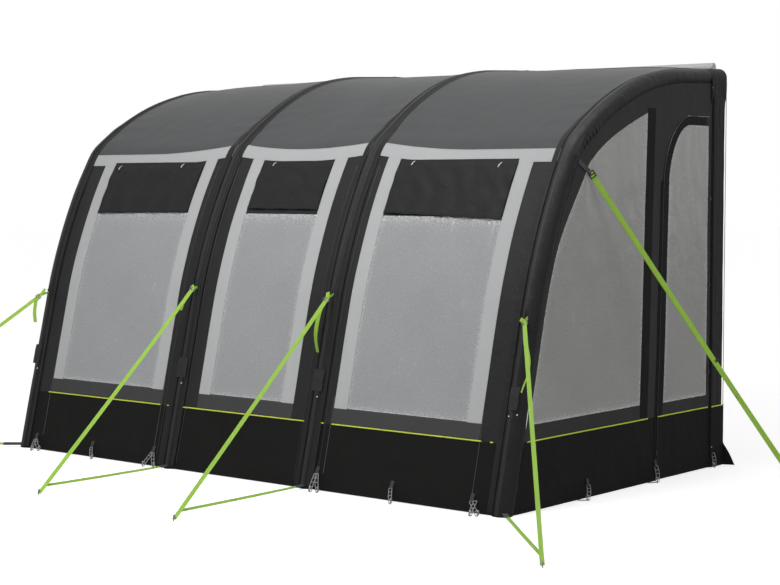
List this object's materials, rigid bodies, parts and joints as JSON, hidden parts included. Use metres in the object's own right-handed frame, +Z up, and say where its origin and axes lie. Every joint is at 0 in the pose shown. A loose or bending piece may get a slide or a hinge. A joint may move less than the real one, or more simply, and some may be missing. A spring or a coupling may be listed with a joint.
{
  "type": "caravan awning",
  "caption": "Inflatable porch awning for a caravan, with air beams, front windows, vent flaps, side doors, rear pads and guy straps.",
  "frame": {"origin": "on the ground, at the middle of the awning's footprint without its guy straps and pegs", "axes": "+Z up, +X along the front towards the right side as seen from the front, +Y towards the caravan"},
  "size_m": [5.5348, 3.3785, 2.4353],
  "materials": {
    "black_fabric": "black coated polyester with a fine plain weave",
    "roof_fabric": "mid-grey coated polyester with a fine plain weave",
    "band_fabric": "light grey coated polyester, sewn in bands",
    "clear_film": "tinted window film, slightly wrinkled",
    "side_film": "darker tinted window film, smooth",
    "vent_mesh": "black insect mesh",
    "pad_fabric": "black padded polyester",
    "bladder_film": "pale translucent bladder film with a plastic valve",
    "bead_core": "grey covered bead",
    "lime_webbing": "lime woven webbing",
    "black_plastic": "moulded black plastic",
    "peg_steel": "zinc-plated steel wire",
    "grey_rubber": "grey rubber of the pegging ladders"
  },
  "bodies": {
    "canopy": {"beam_sleeve_1": "black_fabric", "beam_sleeve_2": "black_fabric", "beam_sleeve_3": "black_fabric", "beam_sleeve_4": "black_fabric", "air_tube_1": "bladder_film", "air_tube_2": "bladder_film", "air_tube_3": "bladder_film", "air_tube_4": "bladder_film", "roof_panel_left": "roof_fabric", "roof_panel_middle": "roof_fabric", "roof_panel_right": "roof_fabric", "header_band_left": "band_fabric", "header_band_middle": "band_fabric", "header_band_right": "band_fabric", "front_panel_middle": "black_fabric", "window_middle": "clear_film", "vent_mesh_middle": "vent_mesh", "side_wall_left": "black_fabric", "side_wall_right": "black_fabric", "side_window_left": "side_film", "side_window_right": "side_film", "rear_pad_left": "pad_fabric", "rear_pad_right": "pad_fabric", "rail_bead": "bead_core", "guy_strap_1": "lime_webbing", "guy_strap_2": "lime_webbing", "guy_strap_3": "lime_webbing", "guy_strap_4": "lime_webbing", "guy_peg_1": "peg_steel", "guy_peg_2": "peg_steel", "guy_peg_3": "peg_steel", "guy_peg_4": "peg_steel", "storm_tab": "black_fabric", "storm_strap": "lime_webbing", "storm_buckle": "black_plastic", "storm_peg": "peg_steel"},
    "front_panel_left": {"front_panel_left": "black_fabric", "window_left": "clear_film", "vent_mesh_left": "vent_mesh"},
    "front_panel_right": {"front_panel_right": "black_fabric", "window_right": "clear_film", "vent_mesh_right": "vent_mesh"},
    "vent_flap_left": {"vent_flap_left": "black_fabric"},
    "vent_flap_middle": {"vent_flap_middle": "black_fabric"},
    "vent_flap_right": {"vent_flap_right": "black_fabric"},
    "door_left": {"door_left": "black_fabric", "door_window_left": "side_film"},
    "door_right": {"door_right": "black_fabric", "door_window_right": "side_film"},
    "door_zip_slider_left": {"door_zip_slider_left": "black_plastic"},
    "door_zip_slider_right": {"door_zip_slider_right": "black_plastic"},
    "valve_cover_1": {"valve_cover_1": "black_fabric"},
    "valve_cover_2": {"valve_cover_2": "black_fabric"},
    "valve_cover_3": {"valve_cover_3": "black_fabric"},
    "valve_cover_4": {"valve_cover_4": "black_fabric"},
    "guy_buckle_1": {"guy_buckle_1": "black_plastic"},
    "guy_buckle_2": {"guy_buckle_2": "black_plastic"},
    "guy_buckle_3": {"guy_buckle_3": "black_plastic"},
    "guy_buckle_4": {"guy_buckle_4": "black_plastic"},
    "storm_adjuster": {"storm_adjuster": "black_plastic"}
  },
  "joints": [
    {"name": "front_panel_left_swing", "type": "hinge", "parent": "canopy", "child": "front_panel_left", "pos_m": [-1.86605, -1.11573, 0.01135], "axis": [0, -0.2334, -0.9724], "range_deg": [0, 90]},
    {"name": "front_panel_right_swing", "type": "hinge", "parent": "canopy", "child": "front_panel_right", "pos_m": [1.86605, -1.11573, 0.01135], "axis": [0, 0.2334, 0.9724], "range_deg": [0, 90]},
    {"name": "vent_flap_left_lift", "type": "hinge", "parent": "front_panel_left", "child": "vent_flap_left", "pos_m": [-1.204, -0.53868, 1.84055], "axis": [-1, 0, 0], "range_deg": [0, 120]},
    {"name": "vent_flap_middle_lift", "type": "hinge", "parent": "canopy", "child": "vent_flap_middle", "pos_m": [0, -0.53868, 1.84055], "axis": [-1, 0, 0], "range_deg": [0, 120]},
    {"name": "vent_flap_right_lift", "type": "hinge", "parent": "front_panel_right", "child": "vent_flap_right", "pos_m": [1.204, -0.53868, 1.84055], "axis": [-1, 0, 0], "range_deg": [0, 120]},
    {"name": "door_left_swing", "type": "hinge", "parent": "canopy", "child": "door_left", "pos_m": [-1.94363, 0.9647, 0], "axis": [0, 0, -1], "range_deg": [0, 90]},
    {"name": "door_right_swing", "type": "hinge", "parent": "canopy", "child": "door_right", "pos_m": [1.94363, 0.9647, 0], "axis": [0, 0, 1], "range_deg": [0, 90]},
    {"name": "door_zip_left", "type": "slide", "parent": "canopy", "child": "door_zip_slider_left", "axis": [0, 0, 1], "range_m": [0, 1.4]},
    {"name": "door_zip_right", "type": "slide", "parent": "canopy", "child": "door_zip_slider_right", "axis": [0, 0, 1], "range_m": [0, 1.4]},
    {"name": "valve_cover_1_lift", "type": "hinge", "parent": "canopy", "child": "valve_cover_1", "pos_m": [-1.895, -0.96755, 0.65968], "axis": [-1, 0, 0], "range_deg": [0, 100]},
    {"name": "valve_cover_2_lift", "type": "hinge", "parent": "canopy", "child": "valve_cover_2", "pos_m": [-0.55, -0.96755, 0.65968], "axis": [-1, 0, 0], "range_deg": [0, 100]},
    {"name": "valve_cover_3_lift", "type": "hinge", "parent": "canopy", "child": "valve_cover_3", "pos_m": [0.55, -0.96755, 0.65968], "axis": [-1, 0, 0], "range_deg": [0, 100]},
    {"name": "valve_cover_4_lift", "type": "hinge", "parent": "canopy", "child": "valve_cover_4", "pos_m": [1.895, -0.96755, 0.65968], "axis": [-1, 0, 0], "range_deg": [0, 100]},
    {"name": "guy_buckle_1_slide", "type": "slide", "parent": "canopy", "child": "guy_buckle_1", "axis": [-0.5052, -0.6275, -0.5924], "range_m": [0, 0.25]},
    {"name": "guy_buckle_2_slide", "type": "slide", "parent": "canopy", "child": "guy_buckle_2", "axis": [0.075, -0.773, -0.63], "range_m": [0, 0.25]},
    {"name": "guy_buckle_3_slide", "type": "slide", "parent": "canopy", "child": "guy_buckle_3", "axis": [0.0845, -0.7835, -0.6156], "range_m": [0, 0.25]},
    {"name": "guy_buckle_4_slide", "type": "slide", "parent": "canopy", "child": "guy_buckle_4", "axis": [0.5052, -0.6275, -0.5924], "range_m": [0, 0.25]},
    {"name": "storm_adjuster_slide", "type": "slide", "parent": "canopy", "child": "storm_adjuster", "axis": [0.3414, 0.4694, -0.8143], "range_m": [-0.5, 0.3]}
  ]
}
